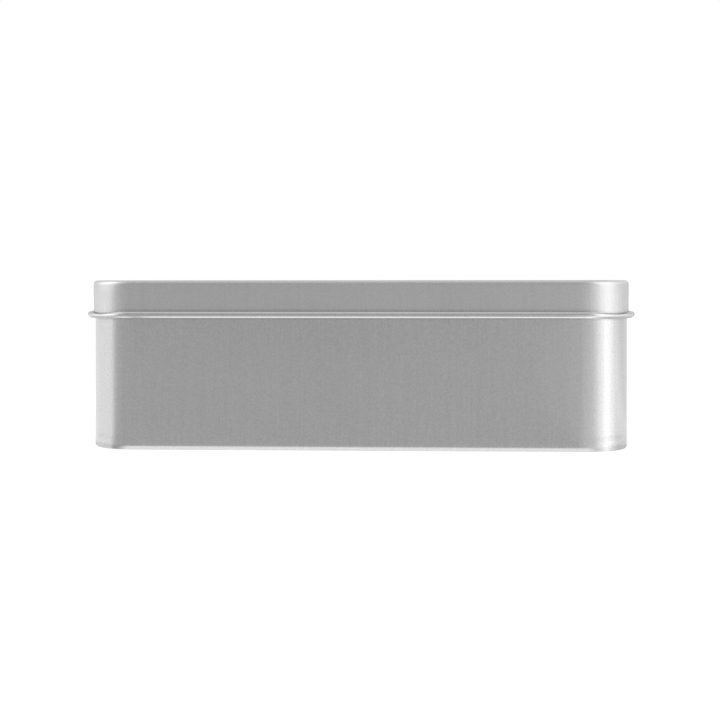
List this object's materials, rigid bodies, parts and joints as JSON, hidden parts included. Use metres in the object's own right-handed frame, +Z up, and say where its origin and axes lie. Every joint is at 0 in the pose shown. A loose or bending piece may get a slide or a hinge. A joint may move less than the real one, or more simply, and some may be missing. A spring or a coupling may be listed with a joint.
{
  "type": "spice tin",
  "caption": "Plain drawn metal tin for dry spices: a rounded rectangular box with a shallow curled lid that hinges open at the back.",
  "frame": {"origin": "on the surface the tin stands on, in the middle of its outline", "axes": "+X along the long side, to the right seen from the front; +Y to the back, where the hinge is; +Z up through the lid"},
  "size_m": [0.1358, 0.0958, 0.0414],
  "materials": {
    "body_tinplate": "satin silver tinplate with a very fine drawn grain",
    "lid_tinplate": "satin silver tinplate with a very fine drawn grain",
    "strap_tinplate": "satin silver tinplate, stamped",
    "wire_steel": "bright drawn steel wire"
  },
  "bodies": {
    "body": {"body_shell": "body_tinplate", "hinge_strap_left": "strap_tinplate", "hinge_strap_right": "strap_tinplate", "hinge_wire": "wire_steel"},
    "lid": {"lid_shell": "lid_tinplate"}
  },
  "joints": [
    {"name": "lid_hinge", "type": "hinge", "parent": "body", "child": "lid", "pos_m": [0, 0.04709, 0.033], "axis": [-1, 0, 0], "range_deg": [0, 110]}
  ]
}
